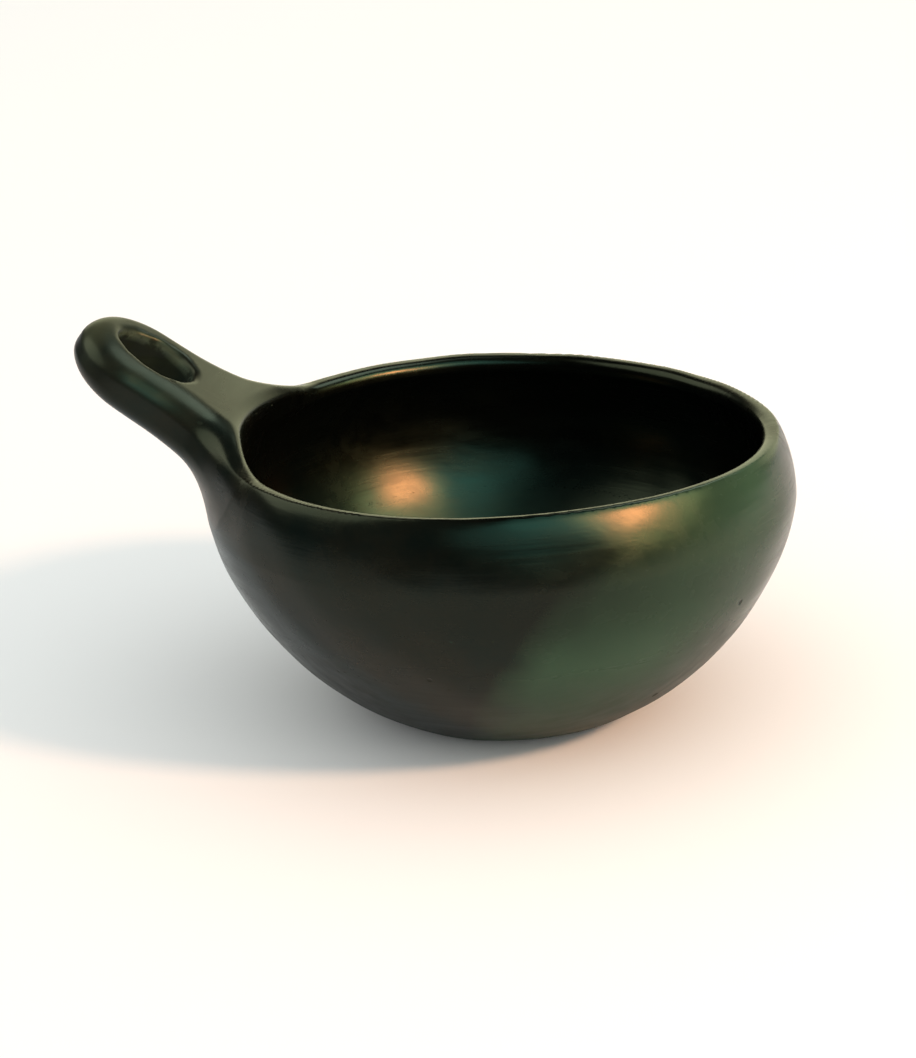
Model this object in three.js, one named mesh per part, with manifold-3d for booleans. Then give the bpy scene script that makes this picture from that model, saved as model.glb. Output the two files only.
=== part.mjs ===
// Black clay bowl with one pierced lug handle, hand-built from a pressed slab and coils.
// Millimetres, Z up. The bowl's axis is Z and its flat base stands on Z = 0.
// Neighbouring pieces of clay stay one slip joint apart.
import * as THREE from 'three';
import { mergeVertices } from 'three/addons/utils/BufferGeometryUtils.js';
import Module from 'manifold-3d';

const wasm = await Module();
wasm.setup();

// Outside of the bowl: a belly, a rounded shoulder above it and a drawn-in base below it.
const BELLY_RADIUS = 70;
const BELLY_HEIGHT = 52.2;
const LOWER_REACH = 59.1;
const LOWER_POWER = 1.715;
const LOWER_ROOT = 2.113;
const CREST_RADIUS = 64.7;
const CREST_HEIGHT = 68.8;
const SHOULDER_POWER = 1.395;

// Inside of the bowl and its rounded lip.
const WALL = 6;
const FLOOR_HEIGHT = 7;
const LIP_RADIUS = 2.75;
const MOUTH_RADIUS = CREST_RADIUS - LIP_RADIUS;

// Slip joints: where each seam meets the outside, and how far its bevel climbs to the inside.
const SLIP_GAP = 0.3;
const SEAM_HEIGHTS = [13, 27, 41, 55];
const SEAM_CLIMB = [6, 5.5, 4.5, 3.5];

// The bowl is not quite round: its radius and rim height vary with the angle,
// growing from nothing near the base to these amounts at the rim.
const STILL_BELOW = 8;
const RADIUS_WAVES = [[-0.0089, 0.011], [0.0365, 0.02], [0.0049, -0.006]];
const HEIGHT_WAVES = [[0.07, -0.645], [-0.26, -0.384]];

// Handle: a flat lug that rises outwards from the shoulder, with an eye near its end.
// "Reach" is the horizontal distance from the bowl's axis.
const HANDLE_AZIMUTH = THREE.MathUtils.degToRad(171);
const HANDLE_TIP = 104.2;
const HANDLE_START = 58;
const HANDLE_HALF_WIDTH = 16.6;
const HANDLE_HALF_THICKNESS = 7;
const HANDLE_ROUNDING = 5;
const TIP_LENGTH = 16;
const RISE_FROM = { reach: 60, height: 62.2 };
const RISE_SLOPE = 0.58;
const RISE_BEND = 0.0019;
const EYE_REACH = 89;
const EYE_HALF_LENGTH = 8.2;
const EYE_HALF_WIDTH = 7.4;
const EYE_FLARE = 2;

// Luting coil: the fillet of soft clay pressed all round the handle's root.
const LUTING_END = 84;
const LUTING_SIDE = 15;
const LUTING_DEPTH = 11;

const SEGMENTS = 48;
const OUTER_STEPS = 4;
const INNER_STEPS = 4;
const LIP_STEPS = 4;

const smooth = (t) => t * t * (3 - 2 * t);

// A height as a 0 to 1 share of a span.
const share = (value, low, high) => THREE.MathUtils.clamp((value - low) / (high - low), 0, 1);

// Evenly spaced values from one end to the other, both ends included.
const spread = (from, to, steps) => (
  Array.from({ length: steps + 1 }, (_, i) => from + (to - from) * (i / steps))
);

function outerPoint(height, grow = 0) {
  if (height <= BELLY_HEIGHT) {
    const drop = (BELLY_HEIGHT - height) / (LOWER_REACH + grow);
    const radius = (BELLY_RADIUS + grow) * (1 - drop ** LOWER_POWER) ** (1 / LOWER_ROOT);
    return new THREE.Vector2(radius, height);
  }
  const rise = share(height, BELLY_HEIGHT, CREST_HEIGHT + grow);
  const bulge = (1 - rise ** SHOULDER_POWER) ** (1 / SHOULDER_POWER);
  return new THREE.Vector2(CREST_RADIUS + (BELLY_RADIUS - CREST_RADIUS + grow) * bulge, height);
}

function innerPoint(height) {
  const belly = BELLY_RADIUS - WALL;
  if (height <= BELLY_HEIGHT) {
    const drop = (BELLY_HEIGHT - height) / (LOWER_REACH - WALL);
    return new THREE.Vector2(belly * (1 - drop ** LOWER_POWER) ** (1 / LOWER_ROOT), height);
  }
  const rise = share(height, BELLY_HEIGHT, CREST_HEIGHT - LIP_RADIUS);
  return new THREE.Vector2(belly - (belly - MOUTH_RADIUS) * rise * rise, height);
}

// Round lip from the crest down to the mouth.
function lipPoints(grow = 0) {
  return spread(0, Math.PI / 2, LIP_STEPS).slice(1).map((turn) => new THREE.Vector2(
    CREST_RADIUS - (LIP_RADIUS + grow) * Math.sin(turn),
    CREST_HEIGHT - LIP_RADIUS + (LIP_RADIUS + grow) * Math.cos(turn),
  ));
}

// Shoulder heights crowd towards the crest, where the outside turns over.
function outerHeights(from, to, steps) {
  const turning = to > BELLY_HEIGHT;
  return spread(0, 1, steps).map((t) => from + (to - from) * (turning ? Math.sin(t * Math.PI / 2) : t));
}

// The two ends of a bevelled seam, moved up or down the wall by half a slip joint.
function seamEnds(index, side) {
  const outside = outerPoint(SEAM_HEIGHTS[index]);
  const inside = innerPoint(SEAM_HEIGHTS[index] + SEAM_CLIMB[index]);
  const along = inside.clone().sub(outside).normalize();
  const lift = side * (SLIP_GAP / 2) / Math.abs(along.x);
  return { outside: outside.y + lift, inside: inside.y + lift };
}

function deform(geometry) {
  const position = geometry.attributes.position;
  for (let i = 0; i < position.count; i += 1) {
    const [x, y, z] = [position.getX(i), position.getY(i), position.getZ(i)];
    const angle = Math.atan2(y, x);
    const wave = (terms) => terms.reduce((sum, [c, s], k) => (
      sum + c * Math.cos((k + 1) * angle) + s * Math.sin((k + 1) * angle)
    ), 0);
    const amount = smooth(share(z, STILL_BELOW, CREST_HEIGHT));
    const stretch = 1 + amount * wave(RADIUS_WAVES);
    position.setXYZ(i, x * stretch, y * stretch, z + amount * wave(HEIGHT_WAVES));
  }
  return geometry;
}

// Turn a profile of radius and height about Z, then give it the bowl's uneven shape.
function turned(profile) {
  const geometry = new THREE.LatheGeometry(profile, SEGMENTS);
  geometry.rotateX(Math.PI / 2);
  return deform(geometry);
}

function handleRise(reach) {
  const along = reach - RISE_FROM.reach;
  return {
    height: RISE_FROM.height + RISE_SLOPE * along + RISE_BEND * along * along,
    angle: Math.atan(RISE_SLOPE + 2 * RISE_BEND * along),
  };
}

// Carry a shape drawn flat, with reach along X, onto the handle's rising mid-line.
function placeOnHandle(geometry) {
  const position = geometry.attributes.position;
  for (let i = 0; i < position.count; i += 1) {
    const [reach, across, above] = [position.getX(i), position.getY(i), position.getZ(i)];
    const { height, angle } = handleRise(reach);
    position.setXYZ(i, reach - above * Math.sin(angle), across, height + above * Math.cos(angle));
  }
  geometry.rotateZ(HANDLE_AZIMUTH);
  return geometry;
}

function toSolid(geometry) {
  const bare = geometry.clone();
  bare.deleteAttribute('normal');
  bare.deleteAttribute('uv');
  const welded = mergeVertices(bare, 1e-4);
  return new wasm.Manifold(new wasm.Mesh({
    numProp: 3,
    vertProperties: new Float32Array(welded.attributes.position.array),
    triVerts: new Uint32Array(welded.index.array),
  }));
}

function fromSolid(solid) {
  const mesh = solid.getMesh();
  const geometry = new THREE.BufferGeometry();
  geometry.setAttribute('position', new THREE.BufferAttribute(mesh.vertProperties, 3));
  geometry.setIndex(new THREE.BufferAttribute(mesh.triVerts, 1));
  geometry.computeVertexNormals();
  return geometry;
}

// The pressed slab: flat foot, dished floor and the start of the wall.
function baseSlab() {
  const seam = seamEnds(0, -1);
  const outside = spread(0, seam.outside, OUTER_STEPS).map((z) => outerPoint(z));
  const inside = spread(seam.inside, FLOOR_HEIGHT, INNER_STEPS).map((z) => innerPoint(z));
  const middle = [new THREE.Vector2(0, 0), new THREE.Vector2(0, FLOOR_HEIGHT)];
  return turned([middle[0], ...outside, ...inside, middle[1]]);
}

// One flattened coil of the wall, between the seam below it and the seam above it.
function wallCoil(index) {
  const low = seamEnds(index, 1);
  const high = seamEnds(index + 1, -1);
  const outside = outerHeights(low.outside, high.outside, OUTER_STEPS).map((z) => outerPoint(z));
  const inside = spread(high.inside, low.inside, INNER_STEPS).map((z) => innerPoint(z));
  return turned([...outside, ...inside, outside[0]]);
}

// The last coil, rolled over into the shoulder and the lip.
function rimCoil() {
  const low = seamEnds(SEAM_HEIGHTS.length - 1, 1);
  const outside = outerHeights(low.outside, CREST_HEIGHT, OUTER_STEPS + 2).map((z) => outerPoint(z));
  const inside = spread(CREST_HEIGHT - LIP_RADIUS, low.inside, INNER_STEPS).slice(1).map((z) => innerPoint(z));
  return turned([...outside, ...lipPoints(), ...inside, outside[0]]);
}

// Everything the bowl and its open mouth take up, for cutting the handle's root.
function bowlAndMouth() {
  const top = HANDLE_TIP;
  const outside = spread(0, 1, 24).map((t) => outerPoint(
    (CREST_HEIGHT + SLIP_GAP) * Math.sin(t * Math.PI / 2),
    SLIP_GAP,
  ));
  const lip = lipPoints(SLIP_GAP).filter((point) => point.x > MOUTH_RADIUS);
  const mouth = [new THREE.Vector2(MOUTH_RADIUS, lip.at(-1).y), new THREE.Vector2(MOUTH_RADIUS, top)];
  const axis = [new THREE.Vector2(0, 0), new THREE.Vector2(0, top)];
  return toSolid(turned([axis[0], ...outside, ...lip, ...mouth, axis[1]]));
}

// The lug before its eye is pierced, optionally grown all round by a slip joint.
function handleBlank(grow = 0) {
  const halfWidth = HANDLE_HALF_WIDTH + grow;
  const tipCentre = HANDLE_TIP - TIP_LENGTH;
  const outline = new THREE.Shape();
  outline.moveTo(HANDLE_START, -halfWidth);
  outline.lineTo(tipCentre, -halfWidth);
  outline.absellipse(tipCentre, 0, TIP_LENGTH + grow, halfWidth, -Math.PI / 2, Math.PI / 2);
  outline.lineTo(HANDLE_START, halfWidth);
  outline.closePath();
  const core = 2 * (HANDLE_HALF_THICKNESS + grow - HANDLE_ROUNDING);
  const geometry = new THREE.ExtrudeGeometry(outline, {
    depth: core,
    curveSegments: 16,
    bevelThickness: HANDLE_ROUNDING,
    bevelSize: HANDLE_ROUNDING,
    bevelOffset: -HANDLE_ROUNDING,
    bevelSegments: 3,
  });
  geometry.translate(0, 0, -core / 2);
  return toSolid(placeOnHandle(geometry));
}

// The pierced eye, narrowest at mid-depth and flared towards both faces.
function eye() {
  const reach = 3 * HANDLE_HALF_THICKNESS;
  const waist = spread(-reach, reach, 12).map((depth) => {
    const flare = EYE_FLARE * Math.min(1, Math.abs(depth) / HANDLE_HALF_THICKNESS) ** 2;
    return new THREE.Vector2(1 + flare / EYE_HALF_WIDTH, depth);
  });
  const profile = [new THREE.Vector2(0, -reach), ...waist, new THREE.Vector2(0, reach)];
  const geometry = new THREE.LatheGeometry(profile, 32);
  geometry.rotateX(Math.PI / 2);
  geometry.scale(EYE_HALF_LENGTH, EYE_HALF_WIDTH, 1);
  const { height, angle } = handleRise(EYE_REACH);
  geometry.rotateY(-angle);
  geometry.translate(EYE_REACH, 0, height);
  geometry.rotateZ(HANDLE_AZIMUTH);
  return toSolid(geometry);
}

// A collar that widens towards the wall, cut to the corner between the handle and the bowl.
function lutingCoil(bowl) {
  const length = LUTING_END - HANDLE_START;
  const collar = new THREE.CylinderGeometry(1, 1, length, 32, 8);
  collar.rotateZ(-Math.PI / 2);
  collar.translate(HANDLE_START + length / 2, 0, 0);
  const position = collar.attributes.position;
  for (let i = 0; i < position.count; i += 1) {
    const [reach, across, above] = [position.getX(i), position.getY(i), position.getZ(i)];
    const spreadOut = share(reach, LUTING_END, HANDLE_START) ** 2;
    position.setXYZ(
      i,
      reach,
      across * (HANDLE_HALF_WIDTH - 1 + LUTING_SIDE * spreadOut),
      above * (HANDLE_HALF_THICKNESS - 1 + LUTING_DEPTH * spreadOut),
    );
  }
  return toSolid(placeOnHandle(collar)).subtract(handleBlank(SLIP_GAP)).subtract(bowl);
}

const blackClay = (name) => new THREE.MeshStandardMaterial({
  name,
  color: 0x1f201e,
  roughness: 0.35,
  metalness: 0,
});

const pot = new THREE.Group();
pot.name = 'black_clay_pot';

function addPiece(name, geometry) {
  const mesh = new THREE.Mesh(geometry, blackClay('black_clay'));
  mesh.name = name;
  pot.add(mesh);
}

const bowl = bowlAndMouth();
addPiece('base_slab', baseSlab());
addPiece('wall_coil_lower', wallCoil(0));
addPiece('wall_coil_middle', wallCoil(1));
addPiece('wall_coil_upper', wallCoil(2));
addPiece('rim_coil', rimCoil());
addPiece('handle_lug', fromSolid(handleBlank().subtract(eye()).subtract(bowl)));
addPiece('luting_coil', fromSolid(lutingCoil(bowl)));

export default pot;
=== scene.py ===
"""Looks of a burnished black clay bowl with one pierced lug handle.

The whole bowl is one smooth field of signed distance, worked out in millimetres. Its skin is
cut along the seams between the pieces of clay, so that each piece is a closed mesh of its own
that stands for its CAD solid, and the skin runs on from one piece to the next.
"""

import itertools
import math

import bpy
import numpy as np
from mathutils import Matrix, Vector


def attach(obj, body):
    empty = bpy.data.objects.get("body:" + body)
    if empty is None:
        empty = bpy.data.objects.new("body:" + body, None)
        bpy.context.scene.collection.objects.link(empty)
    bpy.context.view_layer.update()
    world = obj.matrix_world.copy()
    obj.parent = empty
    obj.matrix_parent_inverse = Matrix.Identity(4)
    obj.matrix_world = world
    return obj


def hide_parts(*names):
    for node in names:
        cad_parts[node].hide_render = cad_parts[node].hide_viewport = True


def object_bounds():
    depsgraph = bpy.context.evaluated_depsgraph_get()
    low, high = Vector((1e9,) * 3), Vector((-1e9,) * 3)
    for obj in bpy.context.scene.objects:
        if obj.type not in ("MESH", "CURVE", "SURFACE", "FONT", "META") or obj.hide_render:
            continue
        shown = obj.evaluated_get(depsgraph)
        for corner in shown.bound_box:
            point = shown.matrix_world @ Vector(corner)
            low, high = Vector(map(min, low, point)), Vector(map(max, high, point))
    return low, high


MM = 0.001

# Outside of the bowl, in millimetres.
BELLY_RADIUS = 70.0
BELLY_HEIGHT = 52.2
LOWER_REACH = 59.1
LOWER_POWER = 1.715
LOWER_ROOT = 2.113
CREST_RADIUS = 64.7
CREST_HEIGHT = 68.8
SHOULDER_POWER = 1.395

# Inside of the bowl and its lip.
WALL = 6.0
FLOOR_HEIGHT = 7.0
LIP_RADIUS = 3.75
MOUTH_RADIUS = CREST_RADIUS - LIP_RADIUS
HOLLOW_SHIFT = np.array([0.3, -0.5, 0.0])

# Seams between the rings of clay: height on the outside, and climb to the inside.
SEAM_HEIGHTS = (13.0, 27.0, 41.0, 55.0)
SEAM_CLIMB = (6.0, 5.5, 4.5, 3.5)

# The bowl is not quite round: cosine and sine terms of its radius and rim height.
STILL_BELOW = 8.0
RADIUS_WAVES = ((-0.0089, 0.011), (0.0365, 0.02), (0.0049, -0.006))
HEIGHT_WAVES = ((0.07, -0.645), (-0.26, -0.384))

# Handle. Reach is the horizontal distance from the bowl's axis.
HANDLE_AZIMUTH = math.radians(171.0)
HANDLE_TIP = 104.2
HANDLE_START = 58.0
HANDLE_HALF_WIDTH = 16.6
HANDLE_HALF_THICKNESS = 6.6
HANDLE_ROUNDING = 5.5
SIDE_ROUNDING = (5.0, 9.0)
SIDE_TURN = 8.0
ROOT_EXTRA_THICKNESS = 1.2
ROOT_FLARE = (10.5, 13.0)
FLARE_FROM = 84.0
FLARE_LENGTH = 24.0
RISE_FROM = (60.0, 62.2)
RISE_SLOPE = 0.58
RISE_BEND = 0.0019
LINE_ENDS = (HANDLE_START - 10.0, HANDLE_TIP + 2.0)
EYE_REACH = 89.0
EYE_HALF_LENGTH = 10.6
EYE_HALF_WIDTH = 8.4
EYE_RIPPLE = 0.2

# Depth that burnishing takes off the clay on average, and its slow and quick changes.
BURNISH_DEPTH = 0.14
BURNISH_WAVES = (0.07, 0.05)

# How softly neighbouring shapes run into each other.
BASE_EDGE = 3.0
FLOOR_EDGE = 4.0
LIP_EDGE = 2.8
EYE_EDGE = 2.2
HANDLE_START_EDGE = 2.0
ROOT_FILLET = 9.0

# The luting coil wraps the handle's root as a skin of clay, seated a little into the wall.
SEAT_DEPTH = 1.5
LUTING_SKIN = 1.6
LUTING_END = 76.0
LUTING_HALF_WIDTH = 33.0
LUTING_HALF_DEPTH = 22.0

# Grid that the meshes are drawn on: its step, the room round the bowl, the nodes along each
# side of a block of it, and the way to a block's corners in half sides, with some to spare.
# Where a seam meets the skin, its points move along the skin by no more than the seam shift.
SKIN_STEP = 0.8
GRID_ROOM = 3.0
BLOCK = 8
BLOCKS_AT_ONCE = 400
CORNER_REACH = 2.2
SEAM_SHIFT = 0.08

PIECES = (
    "base_slab", "wall_coil_lower", "wall_coil_middle", "wall_coil_upper", "rim_coil",
    "handle_lug", "luting_coil",
)
LUG = PIECES.index("handle_lug") + 1
LUTING = PIECES.index("luting_coil") + 1


def smooth_min(a, b, width):
    blend = np.maximum(width - np.abs(a - b), 0.0)
    return np.minimum(a, b) - blend * blend / (4.0 * width)


def smooth_max(a, b, width):
    return -smooth_min(-a, -b, width)


def share(value, low, high):
    return np.clip((value - low) / (high - low), 0.0, 1.0)


def eased(t):
    return t * t * (3.0 - 2.0 * t)


# ---------------------------------------------------------------- profiles of the bowl

def outer_radius(height):
    """Radius of the outside at heights from the closing point of the lower curve to the crest."""
    drop = np.clip((BELLY_HEIGHT - height) / LOWER_REACH, 0.0, 1.0)
    rise = share(height, BELLY_HEIGHT, CREST_HEIGHT)
    lower = BELLY_RADIUS * (1.0 - drop ** LOWER_POWER) ** (1.0 / LOWER_ROOT)
    bulge = (1.0 - rise ** SHOULDER_POWER) ** (1.0 / SHOULDER_POWER)
    upper = CREST_RADIUS + (BELLY_RADIUS - CREST_RADIUS) * bulge
    return np.where(height < BELLY_HEIGHT, lower, upper)


def inner_radius(height):
    """Radius of the hollow at heights from its closing point to the mouth."""
    belly = BELLY_RADIUS - WALL
    drop = np.clip((BELLY_HEIGHT - height) / (LOWER_REACH - WALL), 0.0, 1.0)
    rise = share(height, BELLY_HEIGHT, CREST_HEIGHT - LIP_RADIUS)
    lower = belly * (1.0 - drop ** LOWER_POWER) ** (1.0 / LOWER_ROOT)
    return np.where(height < BELLY_HEIGHT, lower, belly - (belly - MOUTH_RADIUS) * rise ** 2)


# The outlines close beyond the axis, and the hollow's outline well above the mouth.
PAST_AXIS = -5.0
ABOVE_MOUTH = 60.0
OUTLINE_POINTS = 400


def heights_between(low, high):
    """Heights that crowd towards both ends, where the outlines turn fastest."""
    return low + (high - low) * (0.5 - 0.5 * np.cos(np.linspace(0.0, np.pi, OUTLINE_POINTS)))


def outer_outline():
    heights = heights_between(BELLY_HEIGHT - LOWER_REACH, CREST_HEIGHT)
    wall = np.stack([outer_radius(heights), heights], 1)
    return np.concatenate([wall, [[PAST_AXIS, CREST_HEIGHT], [PAST_AXIS, heights[0]]]])


def hollow_outline():
    heights = heights_between(BELLY_HEIGHT - LOWER_REACH + WALL, CREST_HEIGHT - LIP_RADIUS)
    wall = np.stack([inner_radius(heights), heights], 1)
    above = CREST_HEIGHT + ABOVE_MOUTH
    top = [[MOUTH_RADIUS, above], [PAST_AXIS, above], [PAST_AXIS, heights[0]]]
    return np.concatenate([wall, top])


class ProfileField:
    """Signed distance to a closed outline of radius and height, kept on a fine grid."""

    STEP = 0.4
    RADII = np.arange(-2.0, 88.0, STEP)
    HEIGHTS = np.arange(-6.0, 112.0, STEP)

    def __init__(self, outline):
        grid = np.stack(np.meshgrid(np.abs(self.RADII), self.HEIGHTS, indexing="ij"), -1)
        grid = grid.reshape(-1, 2)
        nearest = np.full(len(grid), np.inf)
        inside = np.zeros(len(grid), bool)
        for start, end in zip(outline, np.roll(outline, -1, axis=0)):
            edge = end - start
            if not edge.any():
                continue
            offset = grid - start
            along = np.clip(offset @ edge / (edge @ edge), 0.0, 1.0)
            apart = offset - along[:, None] * edge
            nearest = np.minimum(nearest, (apart * apart).sum(1))
            if edge[1] != 0.0:
                spans = (start[1] > grid[:, 1]) != (end[1] > grid[:, 1])
                crossing = start[0] + (grid[:, 1] - start[1]) / edge[1] * edge[0]
                inside ^= spans & (grid[:, 0] < crossing)
        signed = np.sqrt(nearest) * np.where(inside, -1.0, 1.0)
        self.values = signed.reshape(len(self.RADII), len(self.HEIGHTS))

    @staticmethod
    def _weights(t):
        """Catmull-Rom weights of the four samples round a place t between the middle two."""
        return (
            t * (-0.5 + t * (1.0 - 0.5 * t)),
            1.0 + t * t * (1.5 * t - 2.5),
            t * (0.5 + t * (2.0 - 1.5 * t)),
            t * t * (0.5 * t - 0.5),
        )

    def __call__(self, radius, height):
        u = np.clip((radius - self.RADII[0]) / self.STEP, 1.0, len(self.RADII) - 3.001)
        v = np.clip((height - self.HEIGHTS[0]) / self.STEP, 1.0, len(self.HEIGHTS) - 3.001)
        i, j = u.astype(int), v.astype(int)
        across, up = self._weights(u - i), self._weights(v - j)
        return sum(
            across[a] * up[b] * self.values[i + a - 1, j + b - 1]
            for a in range(4) for b in range(4)
        )


outside_field = ProfileField(outer_outline())
hollow_field = ProfileField(hollow_outline())


# ---------------------------------------------------------------- the whole bowl as one field

def wave(terms, angle):
    return sum(
        c * np.cos((k + 1) * angle) + s * np.sin((k + 1) * angle)
        for k, (c, s) in enumerate(terms)
    )


def evened(points):
    """Radius and height of each point once the bowl's uneven shape is taken out."""
    x, y, z = points[..., 0], points[..., 1], points[..., 2]
    angle = np.arctan2(y, x)
    lift, stretch = wave(HEIGHT_WAVES, angle), wave(RADIUS_WAVES, angle)

    def amount(height):
        return eased(share(height, STILL_BELOW, CREST_HEIGHT))

    height = z - amount(z) * lift
    height = z - amount(height) * lift
    return np.hypot(x, y) / (1.0 + amount(height) * stretch), height


def handle_place(points):
    """Reach of the nearest mid-line point, and offsets along, across and square to the handle."""
    x, y, z = points[..., 0], points[..., 1], points[..., 2]
    reach = x * math.cos(HANDLE_AZIMUTH) + y * math.sin(HANDLE_AZIMUTH)
    across = y * math.cos(HANDLE_AZIMUTH) - x * math.sin(HANDLE_AZIMUTH)

    def line(at):
        run = at - RISE_FROM[0]
        height = RISE_FROM[1] + run * (RISE_SLOPE + RISE_BEND * run)
        return height, RISE_SLOPE + 2.0 * RISE_BEND * run

    near = np.clip(reach, *LINE_ENDS)
    for _ in range(2):
        height, slope = line(near)
        near = near + ((reach - near) + (z - height) * slope) / (1.0 + slope * slope)
        near = np.clip(near, *LINE_ENDS)
    height, slope = line(near)
    tilt = 1.0 / np.sqrt(1.0 + slope * slope)
    along = ((reach - near) + (z - height) * slope) * tilt
    square = ((z - height) - (reach - near) * slope) * tilt
    return near, along, across, square


# Mean length along the handle for each millimetre of reach.
MEAN_STRETCH = math.hypot(1.0, RISE_SLOPE + RISE_BEND * (HANDLE_TIP - RISE_FROM[0]))


def handle_field(points):
    """The lug before its eye is pierced: a flat bar with a round end, its edges rounded more
    broadly on one side than on the other."""
    near, along, across, square = handle_place(points)
    behind_tip = (HANDLE_TIP - near) * MEAN_STRETCH - along
    flare = share(near, FLARE_FROM, FLARE_FROM - FLARE_LENGTH)
    half_width = HANDLE_HALF_WIDTH + np.where(across < 0.0, *ROOT_FLARE) * flare * flare
    before_centre = np.maximum(HANDLE_HALF_WIDTH - behind_tip, 0.0)
    edge = np.hypot(before_centre, across) - half_width
    rootward = share(near, HANDLE_TIP, HANDLE_START)
    half_thickness = HANDLE_HALF_THICKNESS + ROOT_EXTRA_THICKNESS * rootward
    turn = eased(share(across, -SIDE_TURN, SIDE_TURN))
    rounding = SIDE_ROUNDING[0] + (SIDE_ROUNDING[1] - SIDE_ROUNDING[0]) * turn
    side = 1.0 + edge / rounding
    face = 1.0 + (np.abs(square) - half_thickness) / HANDLE_ROUNDING
    corner = np.hypot(np.maximum(side, 0.0), np.maximum(face, 0.0))
    bar = (np.minimum(np.maximum(side, face), 0.0) + corner - 1.0) * HANDLE_ROUNDING
    before_start = (HANDLE_START - near) * MEAN_STRETCH - along
    return smooth_max(bar, before_start, HANDLE_START_EDGE)


def eye_field(points):
    """Negative inside the eye, which a finger has pushed through a little unevenly."""
    near, along, v, square = handle_place(points)
    u = (near - EYE_REACH) * MEAN_STRETCH + along
    length = EYE_HALF_LENGTH * (1.0 + 0.03 * np.sin(0.7 * square + 1.0))
    width = EYE_HALF_WIDTH * (1.0 + 0.05 * np.sin(0.5 * square + 0.25 * u))
    ratio = np.hypot(u / length, v / width)
    slope = np.hypot(u / length ** 2, v / width ** 2)
    rounded = (ratio - 1.0) * ratio / np.maximum(slope, 1e-3)
    ripple = EYE_RIPPLE * np.sin(0.9 * u + 0.5 * square) * np.sin(0.7 * v - 0.9 * square)
    near_middle = ratio < 0.3
    return np.where(near_middle, -0.6 * EYE_HALF_WIDTH, rounded) + ripple


def unevenness(points):
    """Slow hollows, in millimetres, that a stone leaves on hand-burnished clay."""
    x, y, z = points[..., 0], points[..., 1], points[..., 2]
    slow, quick = BURNISH_WAVES
    return BURNISH_DEPTH + (
        slow * np.sin(0.21 * x + 0.13 * z + 0.4) * np.sin(0.17 * y - 0.19 * z + 1.1)
        + quick * np.sin(0.33 * z + 0.11 * x + 2.0) * np.sin(0.27 * x - 0.23 * y)
    )


def bowl_outside(points):
    """The bowl with neither hollow nor handle, before it is burnished."""
    radius, height = evened(points)
    return smooth_max(outside_field(radius, height), -points[..., 2], BASE_EDGE)


def bowl_field(points):
    """The whole bowl: negative in the clay, positive in the air."""
    radius, height = evened(points)
    outside = smooth_max(
        outside_field(radius, height) + unevenness(points), -points[..., 2], BASE_EDGE)
    hollow = hollow_field(*evened(points - HOLLOW_SHIFT))
    hollow = smooth_max(hollow, FLOOR_HEIGHT - points[..., 2], FLOOR_EDGE) + unevenness(points)
    handle = smooth_max(handle_field(points), -eye_field(points), EYE_EDGE)
    joined = smooth_min(outside, handle, ROOT_FILLET)
    return smooth_max(joined, -hollow, LIP_EDGE)


# ---------------------------------------------------------------- seams between the pieces

def ring_seam(points, index):
    """Positive above a ring seam, negative below it."""
    radius, height = evened(points)
    low = np.array([outer_radius(SEAM_HEIGHTS[index]), SEAM_HEIGHTS[index]])
    climbed = SEAM_HEIGHTS[index] + SEAM_CLIMB[index]
    high = np.array([inner_radius(climbed), climbed])
    run = (high - low) / np.linalg.norm(high - low)
    return (radius - low[0]) * run[1] - (height - low[1]) * run[0]


def root_seam(points):
    """Positive on the handle's side of the seat pressed into the bowl's wall."""
    reach = points[..., 0] * math.cos(HANDLE_AZIMUTH) + points[..., 1] * math.sin(HANDLE_AZIMUTH)
    _, _, across, square = handle_place(points)
    footprint = 1.0 - np.hypot(across / LUTING_HALF_WIDTH, square / LUTING_HALF_DEPTH)
    inside = np.minimum(footprint * LUTING_HALF_DEPTH, reach)
    return np.minimum(inside, bowl_outside(points) + SEAT_DEPTH)


def luting_seam(points):
    """Positive in the lug, negative in the skin of clay round its root."""
    near = handle_place(points)[0]
    return np.maximum(-LUTING_SKIN - handle_field(points), near - LUTING_END)


def piece_of(points):
    """Number of the piece of clay that each point inside the bowl belongs to."""
    number = np.ones(len(points), np.int8)
    for index in range(len(SEAM_HEIGHTS)):
        number += ring_seam(points, index) > 0.0
    held = root_seam(points) > 0.0
    number[held] = np.where(luting_seam(points[held]) > 0.0, LUG, LUTING)
    return number


def seam_between(points, low, high):
    """The field whose zero is the seam between two pieces, given by number."""
    if high < LUG:
        return ring_seam(points, low - 1)
    if low < LUG:
        return root_seam(points)
    return luting_seam(points)


# ---------------------------------------------------------------- from field to closed meshes

def gradient(field, points, reach=0.05):
    parts = []
    for axis in range(3):
        step = np.zeros(3)
        step[axis] = reach
        parts.append((field(points + step) - field(points - step)) / (2.0 * reach))
    return np.stack(parts, 1)


def pull_onto(field, points, most):
    """One Newton step of each point towards the zero of a field."""
    slope = gradient(field, points)
    steep = np.maximum((slope * slope).sum(1), 0.2)
    return points - np.clip(field(points) / steep, -most, most)[:, None] * slope


def lattice(counts):
    """Every place in a box of whole numbers with the given counts along its axes."""
    return np.stack(np.meshgrid(*map(np.arange, counts), indexing="ij"), -1).reshape(-1, 3)


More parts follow.
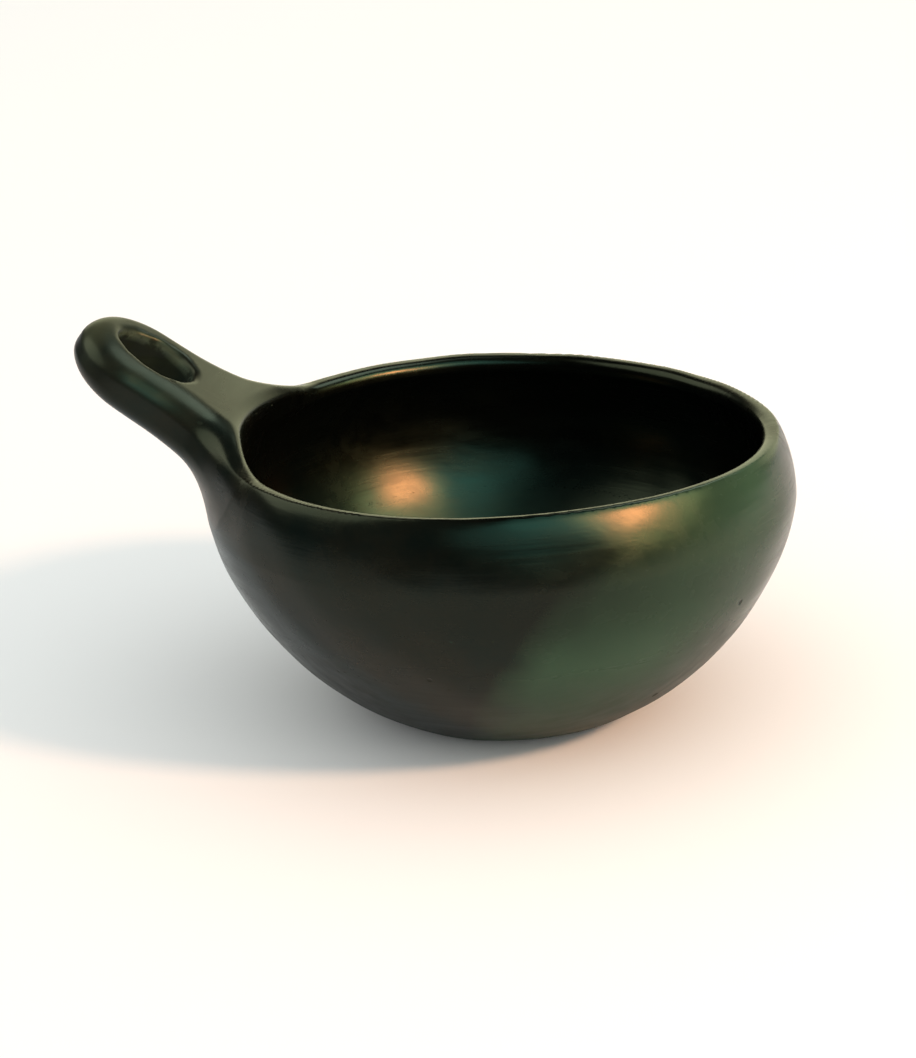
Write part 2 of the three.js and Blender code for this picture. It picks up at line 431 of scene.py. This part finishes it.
def label_grid(low, high):
    """Piece number at each node of a grid over the box, with 0 for air.

    A block of nodes is left as air where the field at its middle is larger than the way
    from there to its corners.
    """
    count = np.ceil((high - low) / SKIN_STEP / BLOCK).astype(int)
    labels = np.zeros(count * BLOCK, np.int8)
    block, within = lattice(count), lattice((BLOCK, BLOCK, BLOCK))
    half = BLOCK * SKIN_STEP / 2.0
    middle = low + block * BLOCK * SKIN_STEP + half
    busy = block[bowl_field(middle) < CORNER_REACH * half]
    for start in range(0, len(busy), BLOCKS_AT_ONCE):
        node = (busy[start:start + BLOCKS_AT_ONCE, None] * BLOCK + within).reshape(-1, 3)
        points = low + node * SKIN_STEP
        solid = bowl_field(points) < 0.0
        labels[tuple(node[solid].T)] = piece_of(points[solid])
    return labels


def square_corners(labels, u, v):
    """The labels at the four corners, in turn, of every square of nodes square to one axis."""
    low, high = slice(0, -1), slice(1, None)
    corners = []
    for along_u, along_v in ((low, low), (high, low), (high, high), (low, high)):
        window = [slice(None)] * 3
        window[u], window[v] = along_u, along_v
        corners.append(labels[tuple(window)])
    return corners


def unpinch(labels):
    """Raises labels until no piece meets itself across only the diagonal of a square of nodes."""
    pinched = True
    while pinched:
        pinched = False
        for u, v in ((0, 1), (1, 2), (2, 0)):
            corner = square_corners(labels, u, v)
            for turn in (0, 1):
                here, left, opposite, right = (corner[(turn + k) % 4] for k in range(4))
                at = np.nonzero((here != 0) & (here == opposite) & (left != here) & (right != here))
                piece, a, b = here[at], left[at], right[at]
                lift_left = ((a != 0) & (a < piece)) | ((a == 0) & (b == 0))
                lift_right = ~lift_left & (b != 0) & (b < piece)
                lift_here = ~lift_left & ~lift_right
                for corner_labels, lift, to in (
                        (left, lift_left, piece), (right, lift_right, piece),
                        (here, lift_here, np.maximum(a, b))):
                    corner_labels[tuple(i[lift] for i in at)] = to[lift]
                pinched |= len(piece) > 0


def middle_of_crossings(cell_labels):
    """Mean place, within each cell, of the middles of the edges between unlike corners."""
    corners = np.array(list(np.ndindex(2, 2, 2)))
    total, count = np.zeros((len(cell_labels), 3)), np.zeros((len(cell_labels), 1))
    for a, b in itertools.combinations(range(8), 2):
        if np.abs(corners[a] - corners[b]).sum() == 1:
            unlike = (cell_labels[:, a] != cell_labels[:, b])[:, None]
            total += unlike * (corners[a] + corners[b]) / 2.0
            count += unlike
    return total / count


def net_of(labels, low):
    """Quads between unlike neighbours: corner cells, and the pieces on both sides of each."""
    size = np.array(labels.shape)
    corners = [
        labels[tuple(slice(o, n - 1 + o) for o, n in zip(offset, size))]
        for offset in np.ndindex(2, 2, 2)
    ]
    mixed = np.zeros(corners[0].shape, bool)
    for other in corners[1:]:
        mixed |= other != corners[0]
    cells = np.argwhere(mixed)
    cell_number = np.full(mixed.shape, -1, np.int64)
    cell_number[mixed] = np.arange(len(cells))
    cell_labels = np.stack([c[mixed] for c in corners], 1)
    points = low + (cells + middle_of_crossings(cell_labels)) * SKIN_STEP

    quads, sides = [], []
    for axis in range(3):
        ahead = np.zeros(3, int)
        ahead[axis] = 1
        here = labels[tuple(slice(0, n - a) for n, a in zip(size, ahead))]
        there = labels[tuple(slice(a, n) for n, a in zip(size, ahead))]
        edge = np.argwhere(here != there)
        u, v = np.zeros(3, int), np.zeros(3, int)
        u[(axis + 1) % 3] = 1
        v[(axis + 2) % 3] = 1
        around = [edge - u - v, edge - v, edge, edge - u]
        quads.append(np.stack([cell_number[tuple(a.T)] for a in around], 1))
        sides.append(np.stack([here[tuple(edge.T)], there[tuple(edge.T)]], 1))
    return points, cell_labels, np.concatenate(quads), np.concatenate(sides)


def settle(start, cell_labels):
    """Moves the cells' points onto the skin, and the seam points a little way onto the seam."""
    in_air = (cell_labels == 0).any(1)
    beyond = len(PIECES) + 1
    low, high = np.where(cell_labels == 0, beyond, cell_labels).min(1), cell_labels.max(1)
    seam = low != high
    points = start.copy()
    most = 0.6 * SKIN_STEP
    for _ in range(3):
        points[in_air] = pull_onto(bowl_field, points[in_air], most)
    before = points.copy()
    for _ in range(3):
        for a, b in sorted({*zip(low[seam].tolist(), high[seam].tolist())}):
            there = seam & (low == a) & (high == b)
            points[there] = pull_onto(lambda p: seam_between(p, a, b), points[there], most)
        edge = seam & in_air
        points[edge] = pull_onto(bowl_field, points[edge], most)
    shift = points[edge] - before[edge]
    length = np.maximum(np.linalg.norm(shift, axis=1), 1e-9)
    points[edge] = before[edge] + shift * np.minimum(1.0, SEAM_SHIFT / length)[:, None]
    points[edge] = pull_onto(bowl_field, points[edge], most)
    return points, in_air


def piece_mesh(name, number, points, skin_normals, quads, sides):
    """Closed mesh of one piece, with the skin's own normals where it shows."""
    ahead, behind = sides[:, 0] == number, sides[:, 1] == number
    faces = np.concatenate([quads[ahead], quads[behind][:, ::-1]])
    other = np.concatenate([sides[ahead, 1], sides[behind, 0]])
    used, local = np.unique(faces, return_inverse=True)
    local = local.reshape(faces.shape)
    mesh = bpy.data.meshes.new(name)
    mesh.vertices.add(len(used))
    mesh.vertices.foreach_set("co", (points[used] * MM).astype(np.float32).ravel())
    mesh.loops.add(local.size)
    mesh.loops.foreach_set("vertex_index", local.astype(np.int32).ravel())
    mesh.polygons.add(len(local))
    mesh.polygons.foreach_set("loop_start", np.arange(0, local.size, 4, dtype=np.int32))
    mesh.update(calc_edges=True)
    mesh.validate()
    mesh.polygons.foreach_set("use_smooth", np.ones(len(local), bool))
    corners = points[faces]
    flat = np.cross(corners[:, 2] - corners[:, 0], corners[:, 3] - corners[:, 1])
    flat /= np.maximum(np.linalg.norm(flat, axis=1), 1e-12)[:, None]
    normals = np.where((other == 0)[:, None, None], skin_normals[faces], flat[:, None, :])
    mesh.normals_split_custom_set(normals.reshape(-1, 3))
    mesh.update()
    return mesh


def clay_pieces(material, cad_low, cad_high):
    """All pieces of clay, each riding on the root and standing for its CAD solid."""
    low = np.array(cad_low) / MM - GRID_ROOM
    high = np.array(cad_high) / MM + GRID_ROOM
    labels = label_grid(low, high)
    unpinch(labels)
    points, cell_labels, quads, sides = net_of(labels, low)
    points, in_air = settle(points, cell_labels)
    normals = np.zeros_like(points)
    normals[in_air] = gradient(bowl_field, points[in_air])
    normals /= np.maximum(np.linalg.norm(normals, axis=1), 1e-12)[:, None]
    for number, node in enumerate(PIECES, start=1):
        mesh = piece_mesh(node + "_clay", number, points, normals, quads, sides)
        mesh.materials.append(material)
        piece = bpy.data.objects.new(node + "_clay", mesh)
        bpy.context.scene.collection.objects.link(piece)
        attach(piece, "root")
        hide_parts(node)


# ---------------------------------------------------------------- materials

class Nodes:
    """Short-hand for building a node tree."""

    def __init__(self, tree):
        self.tree = tree
        tree.nodes.clear()

    def add(self, kind, inputs=None, **settings):
        node = self.tree.nodes.new(kind)
        for key, value in settings.items():
            setattr(node, key, value)
        for key, value in (inputs or {}).items():
            if isinstance(value, bpy.types.NodeSocket):
                self.tree.links.new(value, node.inputs[key])
            else:
                node.inputs[key].default_value = value
        return node

    def math(self, operation, *values, clamp=False):
        inputs = dict(enumerate(values))
        return self.add("ShaderNodeMath", inputs, operation=operation, use_clamp=clamp).outputs[0]

    def plus(self, a, b):
        return self.math("ADD", a, b)

    def times(self, a, b):
        return self.math("MULTIPLY", a, b)

    def noise(self, vector, scale, detail=3.0, roughness=0.5):
        node = self.add("ShaderNodeTexNoise", {
            "Vector": vector, "Scale": scale, "Detail": detail, "Roughness": roughness})
        return node.outputs["Fac"]

    def mapped(self, vector, scale, rotation=(0.0, 0.0, 0.0)):
        node = self.add("ShaderNodeMapping", {
            "Vector": vector, "Scale": scale, "Rotation": rotation})
        return node.outputs["Vector"]

    def remap(self, value, low, high, to_low, to_high):
        node = self.add("ShaderNodeMapRange", {
            "Value": value, "From Min": low, "From Max": high, "To Min": to_low, "To Max": to_high})
        return node.outputs["Result"]

    def blend(self, amount, a, b):
        node = self.add("ShaderNodeMix", data_type="RGBA", blend_type="MIX")
        for socket, value in zip((node.inputs[0], node.inputs[6], node.inputs[7]), (amount, a, b)):
            if isinstance(value, bpy.types.NodeSocket):
                self.tree.links.new(value, socket)
            else:
                socket.default_value = value
        return node.outputs[2]


# Middle and tilt of the eye, whose own frame is measured in its half sizes.
EYE_RUN = EYE_REACH - RISE_FROM[0]
EYE_TILT = math.atan(RISE_SLOPE + 2.0 * RISE_BEND * EYE_RUN)
EYE_MIDDLE = Vector((
    EYE_REACH * math.cos(HANDLE_AZIMUTH), EYE_REACH * math.sin(HANDLE_AZIMUTH),
    RISE_FROM[1] + EYE_RUN * (RISE_SLOPE + RISE_BEND * EYE_RUN)))

# Tones of the clay, as linear colour; some of them are painted light and shade.
COLD_BLACK = (0.0024, 0.0048, 0.0040, 1.0)
WARM_BLACK = (0.0064, 0.0058, 0.0036, 1.0)
# Painted reflection: green where the near side of the belly reflects the lit floor.
GREEN_FLOOR_REFLECTION = (0.027, 0.057, 0.031, 1.0)
# Painted light in the hollow: near-black shade on its upper wall, a teal sheen low down.
WELL_PAINTED_SHADE = (0.0006, 0.0008, 0.0006, 1.0)
WELL_PAINTED_SHEEN = (0.005, 0.016, 0.0135, 1.0)
# Painted light and shade in the eye: the dark lower wall, and the lit upper wall.
EYE_PAINTED_SHADE = (0.003, 0.005, 0.003, 1.0)
EYE_PAINTED_LIGHT = (0.060, 0.075, 0.046, 1.0)
# Painted light on the top of the handle's tip, beyond the eye.
TIP_PAINTED_LIGHT = (0.030, 0.036, 0.019, 1.0)
PIT_BLACK = (0.002, 0.002, 0.002, 1.0)
DUST_GREY = (0.25, 0.26, 0.25, 1.0)

# The well lies within a ball round the belly's middle, flattened by this factor. The two
# radii, in metres, are where it begins and where it is complete.
WELL_FLATTENING = 1.35
WELL_BALL = (0.0685, 0.0655)

# Slant of the edges of the painted green reflection: the share of X and of height in the distance
# across it.
GREEN_REFLECTION_SLANT = (0.825, 0.566)


def burnish_strokes(n, place, patch):
    """Strokes of the burnishing stone: level in some patches, slanting in the others."""
    level = n.noise(n.mapped(place, (26.0, 26.0, 420.0)), 1.0, 4.0, 0.6)
    slant = n.noise(n.mapped(place, (60.0, 380.0, 240.0), (0.5, 0.3, 0.4)), 1.0, 3.0, 0.55)
    where = n.remap(patch, 0.42, 0.58, 0.0, 1.0)
    return n.add("ShaderNodeMix", {0: where, 2: level, 3: slant}, data_type="FLOAT").outputs[0]


def specks(n, place, scale, channel, kept, outer, core, strength):
    """Round specks in a small share of the cells of a Voronoi pattern."""
    cells = n.add("ShaderNodeTexVoronoi", {"Vector": place, "Scale": scale})
    draw = n.add("ShaderNodeSeparateColor", {"Color": cells.outputs["Color"]}).outputs[channel]
    dot = n.remap(cells.outputs["Distance"], outer, core, 0.0, strength)
    return n.times(dot, n.math("LESS_THAN", draw, kept))


def in_well(n, axes):
    """One inside the bowl's hollow, zero on its outside."""
    drop = n.times(n.math("SUBTRACT", axes[2], BELLY_HEIGHT * MM), WELL_FLATTENING)
    level = n.plus(n.times(axes[0], axes[0]), n.times(axes[1], axes[1]))
    from_middle = n.math("SQRT", n.plus(n.times(drop, drop), level))
    return n.remap(from_middle, *WELL_BALL, 0.0, 1.0)


def painted_green_reflection(n, axes, patch):
    """A painted reflection: the broad slanting band of green on the near side of the belly."""
    lean = n.math("SUBTRACT", n.times(axes[0], GREEN_REFLECTION_SLANT[0]), n.times(axes[2], GREEN_REFLECTION_SLANT[1]))
    lean = n.plus(lean, n.remap(patch, 0.3, 0.7, -0.006, 0.006))
    band = n.times(n.remap(lean, -0.020, -0.008, 0.0, 1.0), n.remap(lean, 0.006, 0.030, 1.0, 0.35))
    near_side = n.remap(axes[1], -0.005, -0.030, 0.0, 1.0)
    fading_down = n.remap(axes[2], 0.008, 0.036, 0.36, 1.0)
    return n.times(n.times(band, near_side), fading_down)


def eye_frame(n, place):
    """Place in the eye's own frame: along the handle, across it and square to it."""
    turned = n.add("ShaderNodeMapping", {
        "Vector": place,
        "Location": EYE_MIDDLE * MM,
        "Rotation": (0.0, -EYE_TILT, HANDLE_AZIMUTH),
        "Scale": (EYE_HALF_LENGTH * MM, EYE_HALF_WIDTH * MM, HANDLE_HALF_THICKNESS * MM),
    }, vector_type="TEXTURE").outputs["Vector"]
    return n.add("ShaderNodeSeparateXYZ", {"Vector": turned}).outputs


def black_clay():
    """Smoke-fired clay, burnished with a stone: strokes, fine grain, pits, a satin sheen, and
    painted light and shade.
    """
    material = bpy.data.materials.new("burnished_black_clay")
    material.use_nodes = True
    n = Nodes(material.node_tree)
    place = n.add("ShaderNodeTexCoord").outputs["Object"]
    axes = n.add("ShaderNodeSeparateXYZ", {"Vector": place}).outputs
    patch = n.noise(place, 38.0, 2.0)
    grain = n.noise(place, 2600.0, 3.0, 0.6)
    mottle = n.noise(place, 75.0, 5.0, 0.6)
    stroke = burnish_strokes(n, place, patch)
    dust = specks(n, place, 140.0, 1, 0.02, 0.05, 0.03, 0.7)
    inside = in_well(n, axes)
    pit = n.times(specks(n, place, 150.0, 0, 0.12, 0.16, 0.10, 1.0),
                  n.math("SUBTRACT", 1.0, inside))

    eye_along, eye_across, eye_square = eye_frame(n, place)
    eye_ratio = n.math("SQRT", n.plus(
        n.times(eye_along, eye_along), n.times(eye_across, eye_across)))
    in_eye = n.times(n.remap(eye_ratio, 1.16, 1.06, 0.0, 1.0),
                     n.remap(eye_square, 1.0, 0.8, 0.0, 1.0))
    # Painted light on the upper part of the eye's wall, broken up by a mottle.
    eye_lit_share = n.times(n.remap(eye_square, 0.5, 0.78, 0.0, 1.0),
                    n.remap(n.noise(place, 260.0, 4.0, 0.6), 0.38, 0.54, 0.1, 1.0))
    # The top of the handle's tip beyond the eye, where light is painted.
    tip_top_lit = n.times(n.remap(eye_along, 1.05, 1.5, 0.0, 1.0),
                     n.remap(eye_square, 0.1, 0.8, 0.0, 1.0))

    tone = n.blend(n.remap(mottle, 0.35, 0.65, 0.0, 1.0), COLD_BLACK, WARM_BLACK)
    # Painted reflection: the green band on the near side of the belly.
    tone = n.blend(painted_green_reflection(n, axes, patch), tone, GREEN_FLOOR_REFLECTION)
    # Painted shade on the hollow's upper wall, blending into a painted teal sheen towards its
    # floor.
    well = n.blend(n.remap(axes[2], 0.045, 0.012, 0.0, 1.0), WELL_PAINTED_SHADE, WELL_PAINTED_SHEEN)
    tone = n.blend(inside, tone, well)
    # Painted light on the top of the handle's tip.
    tone = n.blend(tip_top_lit, tone, TIP_PAINTED_LIGHT)
    # Painted shade and light in the eye: dark below, lit above.
    tone = n.blend(in_eye, tone, n.blend(eye_lit_share, EYE_PAINTED_SHADE, EYE_PAINTED_LIGHT))
    tone = n.blend(pit, tone, PIT_BLACK)
    tone = n.blend(dust, tone, DUST_GREY)

    # Strokes and mottling vary the gloss. The foot, the handle, the pits and the eye are duller.
    dullness = n.remap(stroke, 0.3, 0.7, 0.20, 0.30)
    dullness = n.plus(dullness, n.remap(mottle, 0.3, 0.7, -0.04, 0.04))
    dullness = n.plus(dullness, n.remap(axes[2], 0.034, 0.004, 0.0, 0.36))
    dullness = n.plus(dullness, n.remap(axes[0], -0.064, -0.082, 0.0, 0.14))
    dullness = n.plus(dullness, n.times(pit, 0.3))
    dullness = n.math("ADD", dullness, n.times(in_eye, 0.5), clamp=True)

    relief = n.plus(n.times(stroke, 0.6), n.times(grain, 0.06))
    relief = n.math("SUBTRACT", relief, n.times(pit, 1.5))
    bump = n.add("ShaderNodeBump", {"Height": relief, "Strength": 0.5, "Distance": 0.2 * MM})

    shader = n.add("ShaderNodeBsdfPrincipled", {
        "Base Color": tone,
        "Roughness": dullness,
        "IOR": 1.26,
        "Specular Tint": (0.80, 1.0, 0.82, 1.0),
        "Coat Weight": 0.1,
        "Coat Roughness": 0.2,
        "Coat IOR": 1.4,
        "Normal": bump.outputs["Normal"],
    })
    n.add("ShaderNodeOutputMaterial", {"Surface": shader.outputs["BSDF"]})
    return material


def pale_floor():
    material = bpy.data.materials.new("pale_floor")
    material.use_nodes = True
    n = Nodes(material.node_tree)
    shader = n.add("ShaderNodeBsdfPrincipled", {
        "Base Color": (0.83, 0.825, 0.815, 1.0), "Roughness": 0.8, "Specular IOR Level": 0.15})
    n.add("ShaderNodeOutputMaterial", {"Surface": shader.outputs["BSDF"]})
    return material


# ---------------------------------------------------------------- stage, lights and camera

FLOOR_HALF = 6.0
LAMP_TARGET = Vector((0.0, 0.0, 0.04))
SKY_COLOUR = (0.92, 0.955, 0.95, 1.0)
SKY_STRENGTH = 1.13

CAMERA_AIM = Vector((-11.57, 0.0, 43.12)) * MM
CAMERA_DISTANCE = 643.1 * MM
CAMERA_PITCH = math.radians(21.53)
CAMERA_ROLL = math.radians(-1.68)
CAMERA_LENS = 88.47
SENSOR_WIDTH = 36.0


def add_floor():
    mesh = bpy.data.meshes.new("floor")
    h = FLOOR_HALF
    mesh.from_pydata([(-h, -h, 0.0), (h, -h, 0.0), (h, h, 0.0), (-h, h, 0.0)], [], [(0, 1, 2, 3)])
    mesh.materials.append(pale_floor())
    floor = bpy.data.objects.new("floor", mesh)
    bpy.context.scene.collection.objects.link(floor)


def direction(azimuth, elevation):
    """Unit vector towards an azimuth, counted from +X towards +Y, and an elevation, in degrees."""
    a, e = math.radians(azimuth), math.radians(elevation)
    return Vector((math.cos(a) * math.cos(e), math.sin(a) * math.cos(e), math.sin(e)))


def add_softbox(name, seen_by, azimuth, elevation, distance, size, power, colour):
    """An oval light that faces the bowl, and shows on matt surfaces or in reflections."""
    light = bpy.data.lights.new(name, "AREA")
    light.shape = "ELLIPSE"
    light.size, light.size_y = size
    light.energy = power
    light.color = colour
    lamp = bpy.data.objects.new(name, light)
    towards = direction(azimuth, elevation)
    lamp.location = LAMP_TARGET + towards * distance
    lamp.rotation_euler = towards.to_track_quat("Z", "Y").to_euler()
    lamp.visible_diffuse = seen_by == "matt"
    lamp.visible_glossy = seen_by == "gloss"
    bpy.context.scene.collection.objects.link(lamp)


def add_sky():
    """Soft fill for matt surfaces, which doesn't show in reflections."""
    world = bpy.data.worlds.new("soft_fill")
    world.use_nodes = True
    n = Nodes(world.node_tree)
    background = n.add("ShaderNodeBackground", {"Color": SKY_COLOUR, "Strength": SKY_STRENGTH})
    n.add("ShaderNodeOutputWorld", {"Surface": background.outputs[0]})
    bpy.context.scene.world = world
    world.cycles_visibility.glossy = False


def add_camera():
    """The camera looks along +Y and down, and is rolled a little about its own axis."""
    camera = bpy.data.cameras.new("camera")
    camera.sensor_width = SENSOR_WIDTH
    camera.lens = CAMERA_LENS
    ahead = Vector((0.0, math.cos(CAMERA_PITCH), -math.sin(CAMERA_PITCH)))
    level = Vector((1.0, 0.0, 0.0))
    upright = Vector((0.0, math.sin(CAMERA_PITCH), math.cos(CAMERA_PITCH)))
    right = level * math.cos(CAMERA_ROLL) + upright * math.sin(CAMERA_ROLL)
    up = upright * math.cos(CAMERA_ROLL) - level * math.sin(CAMERA_ROLL)
    holder = bpy.data.objects.new("camera", camera)
    axes = Matrix((right, up, -ahead)).transposed()
    holder.matrix_world = Matrix.Translation(CAMERA_AIM - ahead * CAMERA_DISTANCE) @ axes.to_4x4()
    bpy.context.scene.collection.objects.link(holder)
    bpy.context.scene.camera = holder


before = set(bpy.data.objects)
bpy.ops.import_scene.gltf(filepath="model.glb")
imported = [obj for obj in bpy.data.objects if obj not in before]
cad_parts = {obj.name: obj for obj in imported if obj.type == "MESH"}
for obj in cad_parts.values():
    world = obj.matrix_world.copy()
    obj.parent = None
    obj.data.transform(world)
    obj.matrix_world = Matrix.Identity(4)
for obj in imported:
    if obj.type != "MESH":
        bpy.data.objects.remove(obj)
cad_low, cad_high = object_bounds()

add_camera()
add_floor()
add_sky()
add_softbox("key", "matt", azimuth=-24.0, elevation=33.5, distance=1.6,
            size=(0.24, 0.24), power=21.0, colour=(1.0, 0.6, 0.38))
add_softbox("window", "gloss", azimuth=-38.0, elevation=25.0, distance=1.6,
            size=(0.46, 0.46), power=50.0, colour=(1.0, 0.29, 0.11))
add_softbox("window_halo", "gloss", azimuth=-33.0, elevation=27.0, distance=1.7,
            size=(1.4, 1.2), power=32.0, colour=(0.85, 0.95, 0.42))
add_softbox("window_haze", "gloss", azimuth=-46.0, elevation=38.0, distance=2.4,
            size=(2.8, 2.2), power=32.0, colour=(0.3, 0.95, 0.85))
add_softbox("window_edge", "gloss", azimuth=-72.0, elevation=27.0, distance=1.8,
            size=(1.7, 0.9), power=6.5, colour=(0.4, 1.0, 0.9))
add_softbox("skylight", "gloss", azimuth=42.0, elevation=55.0, distance=2.4,
            size=(1.5, 1.5), power=26.0, colour=(0.85, 1.0, 0.8))
add_softbox("backdrop", "gloss", azimuth=74.0, elevation=13.0, distance=2.5,
            size=(4.6, 1.4), power=25.0, colour=(1.0, 1.0, 0.62))
add_softbox("far_wall", "gloss", azimuth=174.0, elevation=45.0, distance=2.5,
            size=(3.0, 2.6), power=50.0, colour=(1.0, 1.0, 0.7))
clay_pieces(black_clay(), cad_low, cad_high)
bpy.context.scene.view_settings.view_transform = "Standard"
